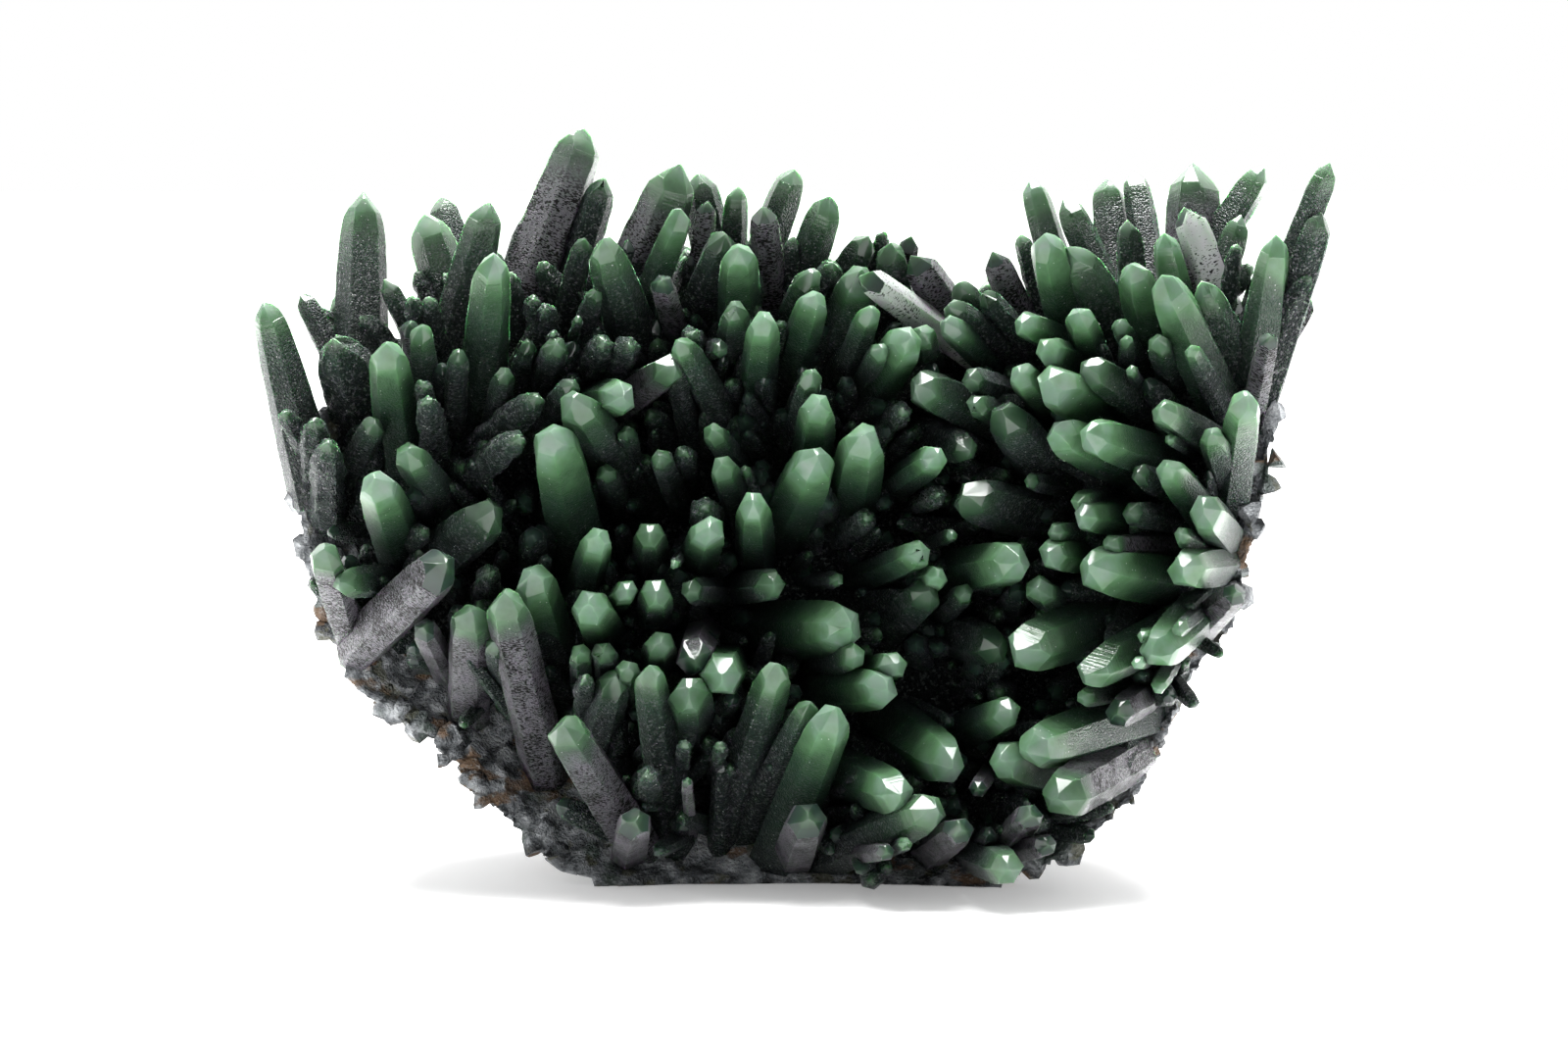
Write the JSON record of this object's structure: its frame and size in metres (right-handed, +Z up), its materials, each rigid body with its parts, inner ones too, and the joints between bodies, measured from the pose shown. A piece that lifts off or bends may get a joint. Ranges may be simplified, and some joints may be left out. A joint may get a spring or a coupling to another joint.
{
  "type": "prase quartz crystal cluster on matrix",
  "caption": "Cluster of dark-bodied, pale-tipped green quartz crystals fanning out of a bowl-shaped plate of grey rock with a flat foot to rest on.",
  "frame": {"origin": "middle of the specimen's footprint, on the surface that it rests on", "axes": "+Z up; +X along the specimen's width, to the right when the crystals are seen from the front; the crystals face -Y and the rock back faces +Y"},
  "size_m": [0.1548, 0.0942, 0.1074],
  "materials": {
    "green_quartz": "glossy milky green crystal, nearly black towards the roots, with sparkling granular crusts",
    "matrix_rock": "rough grey quartz rock with olive and rust-brown stains"
  },
  "bodies": {
    "root": {"crystals": "green_quartz", "matrix": "matrix_rock"}
  },
  "joints": []
}
